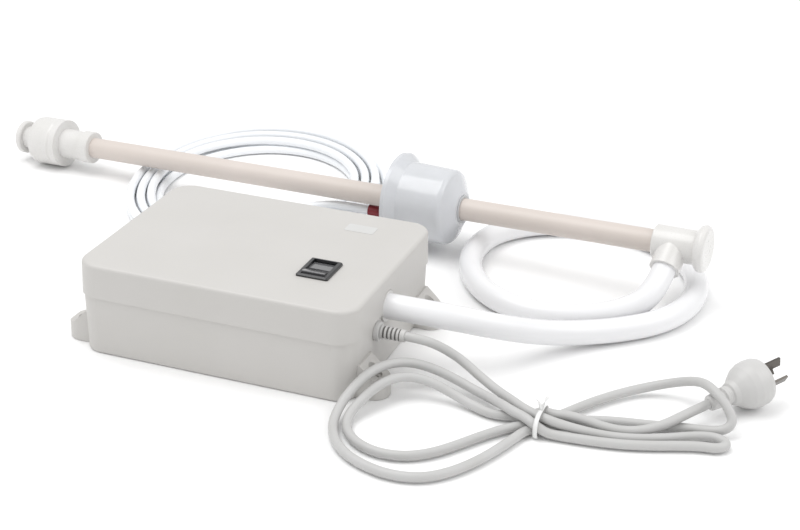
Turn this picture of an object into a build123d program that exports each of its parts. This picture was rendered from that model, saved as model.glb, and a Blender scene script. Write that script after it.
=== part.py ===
"""Bottled-water dispensing pump system, lying as stored.

A two-shell case holds a small diaphragm pump, its motor and its mains supply.  A thick suction hose runs
from the case to a suction wand, which carries a sliding bottle cap and a foot valve with a float.  A coil of
discharge tube lies behind the case, and the mains cord is folded into a bow in front of it.

Millimetres.  +X is the cord end of the case, -Y its front, +Z up, origin in the middle of the case's base.
"""
from build123d import *
from math import pi, radians, tan
import os

os.makedirs("parts", exist_ok=True)

# ---------------------------------------------------------------- driving dimensions
CASE_LENGTH, CASE_WIDTH, CASE_HEIGHT = 225.0, 172.5, 73.4
SEAM = 46.7                    # height of the joint between base and lid
DRAFT = 1.2                    # moulding draft of both shells, degrees
CORNER = 18.0                  # plan radius of the lid's corners
LID_WALL, BASE_WALL, FLOOR = 2.6, 3.0, 3.0
OVERHANG = 1.3                 # how far the lid stands out past the base
TONGUE, TONGUE_RISE = 1.3, 2.6
BOSS_X, BOSS_Y, BOSS_R = 93.0, 67.0, 6.0
SCREW_R, SCREW_HEAD_R, SCREW_HEAD = 2.0, 4.0, 2.6
SCREW_SEAT, SCREW_TIP = 6.0, 60.0
EAR_X, EAR_Y = 120.0, 60.0     # mounting hole pattern, half spacings
EAR_R, EAR_CENTRE = 12.0, 119.5
EAR_HOLE_R, EAR_TOP = 2.6, 14.0

SWITCH = Vector(61.8, -27.0, 71.0)            # pivot of the rocker
BEZEL_X, BEZEL_Y, BEZEL_TOP = 25.5, 31.0, 75.6
SWITCH_BODY_X, SWITCH_BODY_Y, SWITCH_FLOOR = 22.0, 28.0, 50.0
WELL_X, WELL_Y, WELL_FLOOR = 18.8, 26.8, 60.0
ROCKER_X, ROCKER_HALF = 18.2, 12.4
ROCKER_TILT = 9.0              # half of the rocker's travel, degrees

HOSE_R, CORD_R, TUBE_R = 9.8, 3.5, 4.0
HOSE_Y, HOSE_Z, INLET_R = -16.0, 49.0, 11.9
CORD_Y, CORD_Z, GLAND_R = -36.0, 37.5, 5.3

PUMP_Y, PUMP_Z = 36.0, 31.0    # axis of motor and pump, along X
MOTOR_R, MOTOR_FRONT, MOTOR_REAR = 21.0, -8.0, 52.0
SHAFT_R, BEARING_R = 2.5, 5.0
PUMP_SQUARE, PUMP_BOLT = 46.0, 18.5
OUTLET_X, OUTLET_REACH, WALL_HOLE_R = -48.0, 96.0, 6.6

WAND_START = Vector(-364.5, 241.6, 21.7)
WAND_DIR = Vector(1.0, -0.105, 0.0457).normalized()
WAND_R, WAND_BORE_R = 9.5, 7.5
CAP_AT = 408.5                 # distance of the bottle cap's rim along the wand
CAP_RIM_R, CAP_R, CAP_WALL = 40.4, 34.0, 2.2
ELBOW_AT, ELBOW_END, FLANGE_END = 639.5, 674.5, 684.0
PORT_AT, PORT_LENGTH = 656.0, 25.0
PORT_DIR = Vector(-0.12, -0.82, -0.56).normalized()

PLUG = Vector(377.0, 25.0, 18.6)              # middle of the plug's round body
PLUG_DIR = Vector(0.60, 0.79, 0.12).normalized()
PLUG_R, PLUG_TAIL = 18.0, 40.0

COIL_X, COIL_Y, COIL_LONG, COIL_WIDE, COIL_TURN = -118.6, 248.6, 155.5, 124.9, 8.4
COIL_HOLE_WIDE, COIL_HOLE_LONG, COIL_SHIFT, COIL_TOP = 86.0, 108.0, 12.0, 16.5


# ---------------------------------------------------------------- helpers
def done(made, label, colour):
    """Label a finished piece, colour it and write it."""
    made.part.label = label
    made.part.color = Color(colour)
    export_step(made.part, f"parts/{label}.step")


def across_wand(distance):
    """Plane across the wand, a distance along it from the foot's end."""
    return Plane(origin=WAND_START + WAND_DIR * distance, x_dir=(0, 1, 0), z_dir=WAND_DIR)


def along(origin, direction):
    """Section plane whose X runs along a direction and whose Y points upwards."""
    side = direction.cross(Vector(0, 0, 1)).normalized()
    return Plane(origin=origin, x_dir=direction, z_dir=side)


def turned(label, colour, plane, outline):
    """A piece turned about the X axis of a section plane, from its (along, radius) outline."""
    with BuildPart() as piece:
        with BuildSketch(plane):
            with BuildLine():
                Polyline(*outline, close=True)
            make_face()
        revolve(axis=Axis(plane.origin, plane.x_dir))
    if label:
        done(piece, label, colour)
    return piece


def route_radii(points):
    """Bend radius at each inner corner of a route: as large as its two runs allow."""
    radii = []
    for before, here, after in zip(points, points[1:], points[2:]):
        first, second = Vector(here) - Vector(before), Vector(after) - Vector(here)
        turn = first.get_angle(second)
        radii.append(0.45 * min(first.length, second.length) / tan(radians(turn / 2)))
    return radii


def tube_along(name, points, radius, bore=0.0):
    """A round tube along straight runs joined by tangent arcs."""
    radii = route_radii(points)
    with BuildPart() as tube:
        with BuildLine() as route:
            FilletPolyline(*points, radius=radii)
        start = Vector(*points[0])
        with BuildSketch(Plane(origin=start, z_dir=Vector(*points[1]) - start)):
            Circle(radius)
            if bore:
                Circle(bore, mode=Mode.SUBTRACT)
        sweep(path=route.wire())
    length = route.wire().length
    ratio = tube.part.volume / (pi * (radius ** 2 - bore ** 2) * length)
    print(f"{name}: {length:.0f} mm, radii {min(radii):.0f} to {max(radii):.0f}, volume ratio {ratio:.4f}")
    return tube


PUMP_SECTION = along(Vector(0, PUMP_Y, PUMP_Z), Vector(1, 0, 0))
WAND_SECTION = along(WAND_START, WAND_DIR)
PLUG_SECTION = along(PLUG, PLUG_DIR)


# ---------------------------------------------------------------- case
def base_outline(grow):
    """Outline of the base at the seam, grown outwards."""
    length = CASE_LENGTH - 2 * OVERHANG + 2 * grow
    width = CASE_WIDTH - 2 * OVERHANG + 2 * grow
    return RectangleRounded(length, width, CORNER - OVERHANG + grow)


with BuildPart() as ear:
    with BuildSketch():
        with Locations((EAR_CENTRE / 2 + 50, 0)):
            Rectangle(EAR_CENTRE - 100, 2 * EAR_R)
        with Locations((EAR_CENTRE, 0)):
            Circle(EAR_R)
    extrude(amount=26)
    with BuildSketch(Plane.XZ):
        with BuildLine():
            Polyline((95, 0), (134, 0), (134, 10), (129, EAR_TOP), (124, 15), (112.5, 26), (95, 26), close=True)
        make_face()
    extrude(amount=EAR_R + 2, both=True, mode=Mode.INTERSECT)
    with Locations((EAR_X, 0, EAR_TOP)):
        CounterBoreHole(EAR_HOLE_R, 5.2, 1.0, depth=40)

with BuildPart() as base_shell:
    with BuildSketch(Plane.XY.offset(SEAM)):
        base_outline(0)
    extrude(amount=-SEAM, taper=DRAFT)
    fillet(base_shell.faces().sort_by(Axis.Z)[0].edges(), 1.2)
    with Locations((0, EAR_Y, 0), (0, -EAR_Y, 0)):
        add(ear.part)
    mirror(about=Plane.YZ)
    with BuildSketch(Plane.XY.offset(SEAM)):
        base_outline(-BASE_WALL)
    extrude(amount=FLOOR - SEAM, taper=DRAFT, mode=Mode.SUBTRACT)
    # tongue that locates the lid
    with BuildSketch(Plane.XY.offset(SEAM - 1)):
        base_outline(TONGUE - BASE_WALL)
        add(base_outline(-BASE_WALL), mode=Mode.SUBTRACT)
    extrude(amount=TONGUE_RISE + 1)
    # screw bosses, board posts and pump rails
    with BuildSketch(Plane.XY.offset(FLOOR - 1)):
        with GridLocations(2 * BOSS_X, 2 * BOSS_Y, 2, 2):
            Circle(BOSS_R)
    extrude(amount=SEAM - FLOOR + 1)
    with BuildSketch(Plane.XY.offset(FLOOR - 1)):
        with Locations((48, -46)):
            with GridLocations(60, 40, 2, 2):
                Circle(3)
    extrude(amount=7.4)
    with GridLocations(2 * BOSS_X, 2 * BOSS_Y, 2, 2):
        Hole(SCREW_R + 0.3)
        with Locations((0, 0, SCREW_SEAT)):
            Cylinder(SCREW_HEAD_R + 0.3, 20, align=(Align.CENTER, Align.CENTER, Align.MAX), mode=Mode.SUBTRACT)
    # openings for hose, cord and outlet
    with BuildSketch(Plane.YZ.offset(100)):
        with Locations((HOSE_Y, HOSE_Z)):
            Circle(INLET_R + 0.3)
        with Locations((CORD_Y, CORD_Z)):
            Circle(GLAND_R + 0.1)
    extrude(amount=20, mode=Mode.SUBTRACT)
    with BuildSketch(Plane.XZ.offset(-70)):
        with Locations((OUTLET_X, PUMP_Z)):
            Circle(WALL_HOLE_R)
    extrude(amount=-20, mode=Mode.SUBTRACT)
done(base_shell, "base_shell", "whitesmoke")

with BuildPart() as lid_shell:
    with BuildSketch(Plane.XY.offset(SEAM + 0.1)):
        RectangleRounded(CASE_LENGTH, CASE_WIDTH, CORNER)
    extrude(amount=CASE_HEIGHT - SEAM - 0.1, taper=DRAFT)
    fillet(lid_shell.faces().sort_by(Axis.Z)[-1].edges(), 3.0)
    with BuildSketch(Plane.XY.offset(SEAM + 0.1)):
        RectangleRounded(CASE_LENGTH - 2 * LID_WALL, CASE_WIDTH - 2 * LID_WALL, CORNER - LID_WALL)
    extrude(amount=CASE_HEIGHT - SEAM - LID_WALL, taper=DRAFT, mode=Mode.SUBTRACT)
    with BuildSketch(Plane.XY.offset(SEAM + 0.1)):
        with GridLocations(2 * BOSS_X, 2 * BOSS_Y, 2, 2):
            Circle(5)
    extrude(amount=CASE_HEIGHT - SEAM - 1)
    with BuildSketch(Plane.XY.offset(SEAM)):
        with GridLocations(2 * BOSS_X, 2 * BOSS_Y, 2, 2):
            Circle(SCREW_R + 0.02)
    extrude(amount=SCREW_TIP - SEAM + 1, mode=Mode.SUBTRACT)
    with BuildSketch(Plane.XY.offset(SEAM + 20)):
        with Locations((SWITCH.X, SWITCH.Y)):
            Rectangle(SWITCH_BODY_X + 0.4, SWITCH_BODY_Y + 0.4)
    extrude(amount=20, mode=Mode.SUBTRACT)
    with BuildSketch(Plane.YZ.offset(100)):
        with Locations((HOSE_Y, HOSE_Z)):
            Circle(INLET_R + 0.3)
    extrude(amount=20, mode=Mode.SUBTRACT)
done(lid_shell, "lid_shell", "whitesmoke")

with BuildPart() as case_screws:
    with BuildSketch(Plane.XY.offset(SCREW_SEAT - SCREW_HEAD)):
        with GridLocations(2 * BOSS_X, 2 * BOSS_Y, 2, 2):
            Circle(SCREW_HEAD_R)
    extrude(amount=SCREW_HEAD)
    with BuildSketch(Plane.XY.offset(SCREW_SEAT)):
        with GridLocations(2 * BOSS_X, 2 * BOSS_Y, 2, 2):
            Circle(SCREW_R)
    extrude(amount=SCREW_TIP - SCREW_SEAT)
    with BuildSketch(Plane.XY.offset(SCREW_SEAT - SCREW_HEAD)):
        with GridLocations(2 * BOSS_X, 2 * BOSS_Y, 2, 2):
            Rectangle(4.4, 1.0)
            Rectangle(1.0, 4.4)
    extrude(amount=1.5, mode=Mode.SUBTRACT)
done(case_screws, "case_screws", "silver")

with BuildPart() as rating_plate:
    with BuildSketch(Plane.XY.offset(CASE_HEIGHT)):
        with Locations((62, 55)):
            RectangleRounded(24, 13, 1.5)
    extrude(amount=0.2)
done(rating_plate, "rating_plate", "white")

# ---------------------------------------------------------------- rocker switch
with BuildPart() as switch_body:
    with BuildSketch(Plane.XY.offset(CASE_HEIGHT)):
        with Locations((SWITCH.X, SWITCH.Y)):
            RectangleRounded(BEZEL_X, BEZEL_Y, 1.5)
    extrude(amount=BEZEL_TOP - CASE_HEIGHT)
    chamfer(switch_body.faces().sort_by(Axis.Z)[-1].edges(), 0.9)
    with BuildSketch(Plane.XY.offset(SWITCH_FLOOR)):
        with Locations((SWITCH.X, SWITCH.Y)):
            Rectangle(SWITCH_BODY_X, SWITCH_BODY_Y)
    extrude(amount=CASE_HEIGHT - SWITCH_FLOOR)
    with BuildSketch(Plane.XY.offset(WELL_FLOOR)):
        with Locations((SWITCH.X, SWITCH.Y)):
            Rectangle(WELL_X, WELL_Y)
    extrude(amount=30, mode=Mode.SUBTRACT)
    with Locations(Plane(origin=SWITCH, z_dir=(1, 0, 0))):
        Cylinder(1.56, 21, mode=Mode.SUBTRACT)
done(switch_body, "switch_body", "black")

with BuildPart() as switch_rocker:
    with BuildSketch(Plane(origin=SWITCH, x_dir=(0, 1, 0), z_dir=(1, 0, 0))):
        with BuildLine():
            Polyline((ROCKER_HALF, 4.4), (0, 3.0), (-ROCKER_HALF, 4.4), (1 - ROCKER_HALF, -1))
            ThreePointArc((1 - ROCKER_HALF, -1), (0, -6.5), (ROCKER_HALF - 1, -1))
            Line((ROCKER_HALF - 1, -1), (ROCKER_HALF, 4.4))
        make_face()
    extrude(amount=ROCKER_X / 2, both=True)
    rims = switch_rocker.edges().filter_by(Axis.X).group_by(Axis.Z)[-1]
    fillet(rims, 0.8)
    with Locations(Plane(origin=SWITCH, z_dir=(1, 0, 0))):
        Cylinder(1.5, 20.4)
switch_rocker.part = switch_rocker.part.rotate(Axis(SWITCH, (1, 0, 0)), -ROCKER_TILT)
done(switch_rocker, "switch_rocker", "gray20")

with BuildPart() as switch_terminals:
    with BuildSketch(Plane.XY.offset(SWITCH_FLOOR)):
        with Locations((SWITCH.X, SWITCH.Y)):
            with GridLocations(9, 14, 2, 2):
                Rectangle(6.3, 0.8)
    extrude(amount=-8)
done(switch_terminals, "switch_terminals", "gold")

# ---------------------------------------------------------------- gland and hose inlet
GLAND_SECTION = along(Vector(0, CORD_Y, CORD_Z), Vector(1, 0, 0))
ribs = [(105, 0), (105, 7.5), (107.6, 7.5), (107.6, GLAND_R), (111.3, GLAND_R), (111.3, 7.6), (114.5, 7.2)]
for rib in range(5):
    left, radius = 115.6 + 3.1 * rib, 5.3 - 0.16 * rib
    ribs += [(left - 0.6, 4.2), (left - 0.1, 4.2), (left, radius), (left + 1.5, radius), (left + 1.6, 4.2)]
ribs += [(130.5, 4.2), (130.6, 4.9), (134, 4.5), (134, 0)]
turned("strain_relief", "white", GLAND_SECTION, ribs)

INLET_SECTION = along(Vector(0, HOSE_Y, HOSE_Z), Vector(1, 0, 0))
turned("hose_inlet", "lightgray", INLET_SECTION,
       [(92, 2.2), (92, 3.3), (102, 3.3), (102, 15), (105.5, 15), (105.5, INLET_R), (112.5, INLET_R),
        (112.5, 6), (106, 6), (103, 2.2)])

# ---------------------------------------------------------------- motor
turned("motor_can", "silver", PUMP_SECTION,
       [(MOTOR_FRONT, BEARING_R + 0.05), (MOTOR_FRONT, MOTOR_R), (MOTOR_REAR, MOTOR_R), (MOTOR_REAR, 19.6),
        (MOTOR_FRONT + 2, 19.6), (MOTOR_FRONT + 2, BEARING_R + 0.05)])
turned("motor_end_bell", "black", PUMP_SECTION,
       [(MOTOR_REAR, BEARING_R + 0.05), (MOTOR_REAR, MOTOR_R), (57, MOTOR_R), (58, MOTOR_R - 1), (58, 0),
        (56.6, 0), (56.6, BEARING_R + 0.05)])
turned("front_bearing", "silver", PUMP_SECTION,
       [(MOTOR_FRONT, SHAFT_R + 0.03), (MOTOR_FRONT, BEARING_R), (-4, BEARING_R), (-4, SHAFT_R + 0.03)])
turned("rear_bearing", "silver", PUMP_SECTION,
       [(MOTOR_REAR, SHAFT_R + 0.03), (MOTOR_REAR, BEARING_R), (56, BEARING_R), (56, SHAFT_R + 0.03)])
turned("rotor_shaft", "silver", PUMP_SECTION, [(-26, 0), (-26, SHAFT_R), (56, SHAFT_R), (56, 0)])
turned("rotor_core", "orange", PUMP_SECTION, [(4, SHAFT_R), (4, 15.8), (40, 15.8), (40, SHAFT_R)])
turned("commutator", "goldenrod", PUMP_SECTION, [(42, SHAFT_R), (42, 6), (50, 6), (50, SHAFT_R)])

with BuildPart() as motor_magnets:
    with BuildSketch(Plane(origin=(2, PUMP_Y, PUMP_Z), z_dir=(1, 0, 0), x_dir=(0, 1, 0))):
        Circle(19.5)
        Circle(16.6, mode=Mode.SUBTRACT)
        Rectangle(8, 60, mode=Mode.SUBTRACT)
    extrude(amount=42)
done(motor_magnets, "motor_magnets", "gray30")

# ---------------------------------------------------------------- diaphragm pump
def across_pump(station):
    """Plane across the pump's axis at a station along X."""
    return Plane(origin=(station, PUMP_Y, PUMP_Z), z_dir=(1, 0, 0), x_dir=(0, 1, 0))


def pump_square(bore=0.0):
    """Section of the pump stack, with its four bolt holes and an optional bore."""
    RectangleRounded(PUMP_SQUARE, PUMP_SQUARE, 5)
    with GridLocations(2 * PUMP_BOLT, 2 * PUMP_BOLT, 2, 2):
        Circle(SCREW_R + 0.1, mode=Mode.SUBTRACT)
    if bore:
        Circle(bore, mode=Mode.SUBTRACT)


with BuildPart() as pump_cam_housing:
    with BuildSketch(across_pump(-30)):
        pump_square(bore=18)
    extrude(amount=20)
    with BuildSketch(across_pump(-10)):
        pump_square(bore=6)
    extrude(amount=2)
done(pump_cam_housing, "pump_cam_housing", "gray20")

with BuildPart() as diaphragm:
    with BuildSketch(across_pump(-32)):
        pump_square()
    extrude(amount=2)
done(diaphragm, "diaphragm", "gray10")

with BuildPart() as valve_plate:
    with BuildSketch(across_pump(-36)):
        pump_square()
    extrude(amount=4)
done(valve_plate, "valve_plate", "gray60")

with BuildPart() as pump_head:
    with BuildSketch(across_pump(-60)):
        pump_square()
    extrude(amount=24)
    with BuildSketch(Plane.XZ.offset(-(PUMP_Y + PUMP_SQUARE / 2 - 1))):
        with Locations((OUTLET_X, PUMP_Z)):
            Circle(3.3)
    extrude(amount=-11)
    with BuildSketch(Plane.XZ.offset(-(PUMP_Y - PUMP_SQUARE / 2 + 1))):
        with Locations((OUTLET_X, PUMP_Z)):
            Circle(5)
    extrude(amount=10)
    with Locations((OUTLET_X, 4, PUMP_Z)):
        Sphere(5)
    with BuildSketch(Plane(origin=(OUTLET_X, 4, PUMP_Z), z_dir=(1, 0, 0))):
        Circle(3.3)
    extrude(amount=16)
    with BuildSketch(Plane(origin=(-36, PUMP_Y, PUMP_Z), z_dir=(-1, 0, 0), x_dir=(0, 1, 0))):
        with Locations((8, 0), (-8, 0)):
            Circle(6)
    extrude(amount=18, mode=Mode.SUBTRACT)
done(pump_head, "pump_head", "gray20")

with BuildPart() as wobble_cam:
    with BuildSketch(across_pump(-24)):
        with Locations((1.5, 0)):
            Circle(10)
        Circle(SHAFT_R, mode=Mode.SUBTRACT)
    extrude(amount=12)
done(wobble_cam, "wobble_cam", "gray50")

with BuildPart() as pump_screws:
    with BuildSketch(across_pump(-62.5)):
        with GridLocations(2 * PUMP_BOLT, 2 * PUMP_BOLT, 2, 2):
            Circle(3.6)
    extrude(amount=2.5)
    with BuildSketch(across_pump(-60)):
        with GridLocations(2 * PUMP_BOLT, 2 * PUMP_BOLT, 2, 2):
            Circle(SCREW_R)
    extrude(amount=50)
done(pump_screws, "pump_screws", "silver")

turned("pressure_switch", "gray20", PUMP_SECTION,
       [(-80, 0), (-80, 7), (-76, 7), (-76, 10), (-62, 10), (-62, 8), (-60, 8), (-60, 0)])

with BuildPart() as pump_bracket:
    with BuildSketch(Plane.XY.offset(6)):
        with Locations((-4, PUMP_Y)):
            RectangleRounded(100, 50, 4)
    extrude(amount=1.8)
    with BuildSketch(Plane.XY.offset(7)):
        with Locations((5, PUMP_Y), (39, PUMP_Y)):
            Rectangle(6, 32)
    extrude(amount=10)
    with Locations(Plane(origin=(20, PUMP_Y, PUMP_Z), z_dir=(1, 0, 0))):
        Cylinder(MOTOR_R + 0.05, 100, mode=Mode.SUBTRACT)
done(pump_bracket, "pump_bracket", "silver")

with BuildPart() as rubber_mounts:
    with BuildSketch(Plane.XY.offset(FLOOR)):
        with Locations((-4, PUMP_Y)):
            with GridLocations(76, 36, 2, 2):
                Circle(5)
    extrude(amount=6 - FLOOR)
done(rubber_mounts, "rubber_mounts", "gray10")

# ---------------------------------------------------------------- plumbing in and on the case
suction_route = [(102, HOSE_Y, HOSE_Z), (86, HOSE_Y, HOSE_Z), (66, -8, 41), (40, -2, 35.5), (10, 2, 32),
                 (-18, 4, 31), (-38, 4, 31)]
done(tube_along("internal_suction_tube", suction_route, 5.0, 3.4), "internal_suction_tube", "white")

LINK_SECTION = along(Vector(OUTLET_X, 0, PUMP_Z), Vector(0, 1, 0))
turned("outlet_link", "gray10", LINK_SECTION, [(60, 3.4), (60, 5.5), (79, 5.5), (79, 3.4)])

with BuildPart() as outlet_elbow:
    with BuildSketch(LINK_SECTION):
        with BuildLine():
            Polyline((70, 0), (70, 3.3), (79.3, 3.3), (79.3, 9), (81.4, 9), (81.4, WALL_HOLE_R - 0.1),
                     (84.8, WALL_HOLE_R - 0.1), (84.8, 9), (87.5, 9), (87.5, 7), (OUTLET_REACH, 7),
                     (OUTLET_REACH, 0), close=True)
        make_face()
    revolve(axis=Axis((OUTLET_X, 0, PUMP_Z), (0, 1, 0)))
    with Locations((OUTLET_X, OUTLET_REACH, PUMP_Z)):
        Sphere(7)
    with BuildSketch(Plane(origin=(OUTLET_X, OUTLET_REACH, PUMP_Z), z_dir=(1, 0, 0))):
        Circle(7)
    extrude(amount=14)
    with BuildSketch(Plane(origin=(OUTLET_X + 3, OUTLET_REACH, PUMP_Z), z_dir=(1, 0, 0))):
        Circle(5.6)
    extrude(amount=20, mode=Mode.SUBTRACT)
done(outlet_elbow, "outlet_elbow", "gray20")

COLLET_SECTION = along(Vector(0, OUTLET_REACH, PUMP_Z), Vector(1, 0, 0))
turned("tube_collet", "red", COLLET_SECTION,
       [(-42, TUBE_R + 0.3), (-42, 5.3), (-32.2, 5.3), (-32.2, 6.6), (-30.7, 6.6), (-30.7, TUBE_R + 0.3)])

discharge_route = [(OUTLET_X + 3, OUTLET_REACH, PUMP_Z), (-24, OUTLET_REACH, PUMP_Z), (-2, 99, 28),
                   (17, 106, 20), (27, 121, 11), (24, 141, 5.5), (13, 160, 4.4), (4, 181, 4.4), (-1, 202, 4.4)]
done(tube_along("discharge_tube", discharge_route, TUBE_R), "discharge_tube", "white")

with BuildPart() as tube_coil:
    with BuildSketch() as ring:
        with Locations((COIL_X, COIL_Y)):
            Ellipse(COIL_WIDE, COIL_LONG, rotation=COIL_TURN)
        with Locations((COIL_X, COIL_Y - COIL_SHIFT)):
            Ellipse(COIL_HOLE_WIDE, COIL_HOLE_LONG, rotation=COIL_TURN, mode=Mode.SUBTRACT)
    extrude(amount=COIL_TOP)
    fillet(tube_coil.edges().group_by(Axis.Z)[-1], 5)
done(tube_coil, "tube_coil", "white")

tail_route = [(-52, 132, 17), (-63, 153, 14), (-62, 175, 15), (-50, 192, 18.5), (-31, 201.5, 21.5),
              (-10, 204.8, 22.4), (11, 204, 22.4)]
done(tube_along("tube_tail", tail_route, TUBE_R), "tube_tail", "white")
TAIL_END, TAIL_BEFORE = Vector(*tail_route[-1]), Vector(*tail_route[-2])
CAP_SECTION = along(TAIL_END, (TAIL_END - TAIL_BEFORE).normalized())
turned("tube_end_cap", "firebrick", CAP_SECTION, [(0, 0), (0, 5.4), (9, 5.2), (11, 4.2), (11, 0)])

PORT = WAND_START + WAND_DIR * PORT_AT
PORT_END = PORT + PORT_DIR * PORT_LENGTH
hose_route = [(112.5, HOSE_Y, HOSE_Z), (140.5, HOSE_Y, HOSE_Z), (166, -6.5, 44), (189, 12, 33.5), (212, 38, 21),
              (237, 65, 12.5), (264, 87, 9.9), (290, 111, 9.9), (305.5, 142, 9.9), (309, 178, 9.9), (300, 214, 9.9),
              (280, 246, 9.9), (250, 268, 9.9), (215, 278, 9.9), (178, 274, 9.9), (144, 258, 9.9),
              (120.5, 229, 9.9), (113.5, 193, 9.9), (119, 158, 9.9), (132.5, 131, 9.9), (150, 110, 9.9),
              (176, 94.5, 9.9), (206, 91, 9.9), (238, 101, 10.2), (263, 115.5, 13.8),
              tuple(PORT_END + PORT_DIR * 26), tuple(PORT_END)]
done(tube_along("suction_hose", hose_route, HOSE_R), "suction_hose", "whitesmoke")

# ---------------------------------------------------------------- control electronics
BOARD_TOP = 11.0


def board_block(label, colour, centre, size, radius=0.0):
    """A component standing on the control board."""
    with BuildPart() as block:
        with BuildSketch(Plane.XY.offset(BOARD_TOP)):
            with Locations(centre):
                if radius:
                    Circle(radius)
                else:
                    Rectangle(size[0], size[1])
        extrude(amount=size[2])
        fillet(block.edges().group_by(Axis.Z)[-1], 0.8)
    done(block, label, colour)


with BuildPart() as control_board:
    with BuildSketch(Plane.XY.offset(BOARD_TOP - 1.6)):
        with Locations((48, -46)):
            Rectangle(70, 50)
    extrude(amount=1.6)
done(control_board, "control_board", "darkgreen")
board_block("transformer", "goldenrod", (32, -54), (30, 24, 22))
board_block("capacitors", "navy", [(57, -58), (71, -58)], (0, 0, 16), radius=6)
board_block("terminal_block", "darkgreen", (68, -31), (24, 10, 12))
board_block("fuse_holder", "black", (34, -30), (24, 8, 9))

# ---------------------------------------------------------------- suction wand
turned("wand_tube", "linen", WAND_SECTION,
       [(66, WAND_BORE_R), (66, WAND_R), (650, WAND_R), (650, WAND_BORE_R)])
turned("foot_strainer", "white", WAND_SECTION,
       [(0, 0), (0, 14.4), (1, 15.4), (4.5, 15.4), (5.5, 14.4), (5.5, 10.5), (13, 10.5), (13, 12.5), (17, 12.5),
        (17, 3), (48, 3), (48, 0)])
turned("foot_body", "white", WAND_SECTION,
       [(17, 3.05), (17, 14.5), (18, 18), (20.5, 21.4), (24.5, 22.4), (41.5, 22.4), (43.5, 21.4), (44, 22.2),
        (50.4, 22.2), (50.4, 14.1), (50.4, 5), (47, 5), (47, 19.6), (23, 19.6), (20, 16), (20, 3.05)])
turned("float_ring", "beige", WAND_SECTION,
       [(22.5, 3.5), (22.5, 11), (25, 14), (34, 14), (36.5, 11), (36.5, 3.5)])
turned("foot_sleeve", "white", WAND_SECTION,
       [(50.4, 8.2), (50.4, 14), (72, 13.6), (72.8, 15), (82, 15), (82.8, 14.2), (82.8, WAND_R), (66, WAND_R),
        (66, 8.2)])
turned("check_poppet", "gray20", WAND_SECTION, [(51, 0), (51, 7), (52, 7.8), (53.6, 7.8), (53.6, 0)])

with BuildPart() as bottle_cap:
    with BuildSketch(WAND_SECTION):
        with BuildLine():
            Polyline((CAP_AT, CAP_RIM_R - 1.6), (CAP_AT, CAP_RIM_R), (CAP_AT + 3.4, CAP_RIM_R),
                     (CAP_AT + 7, 37.4), (CAP_AT + 11, CAP_R), (CAP_AT + 47, 32.4))
            ThreePointArc((CAP_AT + 47, 32.4), (CAP_AT + 50.4, 31.2), (CAP_AT + 52.4, 28.2))
            Polyline((CAP_AT + 52.4, 28.2), (CAP_AT + 59.5, 15), (CAP_AT + 59.5, 12), (CAP_AT + 55, 12),
                     (CAP_AT + 55, 15), (CAP_AT + 49.6, 27.4), (CAP_AT + 46.5, 32.3 - CAP_WALL),
                     (CAP_AT + 11, CAP_R - CAP_WALL), (CAP_AT + 5, 35.6), (CAP_AT, CAP_RIM_R - 1.6))
        make_face()
    revolve(axis=Axis(WAND_START, WAND_DIR))
done(bottle_cap, "bottle_cap", "aliceblue")
turned("cap_grommet", "gray60", WAND_SECTION,
       [(CAP_AT + 54.5, WAND_R + 0.25), (CAP_AT + 54.5, 11.95), (CAP_AT + 60.5, 11.95), (CAP_AT + 60.5, WAND_R + 0.25)])

with BuildPart() as hose_elbow:
    with BuildSketch(WAND_SECTION):
        with BuildLine():
            Polyline((ELBOW_AT, WAND_R), (ELBOW_AT, 13.2), (ELBOW_AT + 1, 14.4), (ELBOW_END, 14.0), (ELBOW_END, 0),
                     (650, 0), (650, WAND_R), close=True)
        make_face()
    revolve(axis=Axis(WAND_START, WAND_DIR))
    with BuildSketch(Plane(origin=PORT, z_dir=PORT_DIR)):
        Circle(12.4)
    extrude(amount=PORT_LENGTH)
    with BuildSketch(WAND_SECTION):
        with BuildLine():
            Polyline((ELBOW_AT - 1, 0), (ELBOW_AT - 1, WAND_R), (650, WAND_R), (650, 0), close=True)
        make_face()
    revolve(axis=Axis(WAND_START, WAND_DIR), mode=Mode.SUBTRACT)
done(hose_elbow, "hose_elbow", "white")
turned("elbow_flange", "white", WAND_SECTION,
       [(ELBOW_END, 0), (ELBOW_END, 15.5), (ELBOW_END + 2.5, 18.6), (ELBOW_END + 5, 19.5), (FLANGE_END - 3.5, 19.5),
        (FLANGE_END - 1, 18.4), (FLANGE_END, 16), (FLANGE_END, 0)])

# ---------------------------------------------------------------- plug
PLUG_TAIL_END = PLUG - PLUG_DIR * PLUG_TAIL
turned("plug_body", "lightgray", PLUG_SECTION,
       [(-PLUG_TAIL, 0), (-PLUG_TAIL, 4.2), (-38.5, 5.8), (-30, 6.4), (-29, 5.6), (-27.5, 5.6), (-26.5, 7),
        (-24, 7.4), (-23, 6.6), (-21.5, 6.8), (-20.5, 8.2), (-17, 9.6), (-13, 12.8), (-8, 16), (-3, 17.7),
        (1, PLUG_R), (6, 17.6), (9, 16.4), (9.6, 15.4), (9.6, 0)])
with BuildPart() as plug_pins:
    side = PLUG_DIR.cross(Vector(0, 0, 1)).normalized()
    with BuildSketch(Plane(origin=PLUG + PLUG_DIR * 9.6, x_dir=side, z_dir=PLUG_DIR)):
        with Locations((-7, 2.5)):
            Rectangle(1.8, 6.4, rotation=-30)
        with Locations((7, 2.5)):
            Rectangle(1.8, 6.4, rotation=30)
        with Locations((0, -8.5)):
            Rectangle(1.8, 6.4)
    extrude(amount=18)
done(plug_pins, "plug_pins", "dimgray")

# ---------------------------------------------------------------- mains cord
BUNDLE_X, BUNDLE_Y, BUNDLE_Z = 242.0, -65.5, 7.9      # middle of the strands where they are tied
BUNDLE_LENGTH, BUNDLE_WIDTH, BUNDLE_HEIGHT = 16.0, 25.0, 15.0
HANK_R = 3.6

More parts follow.
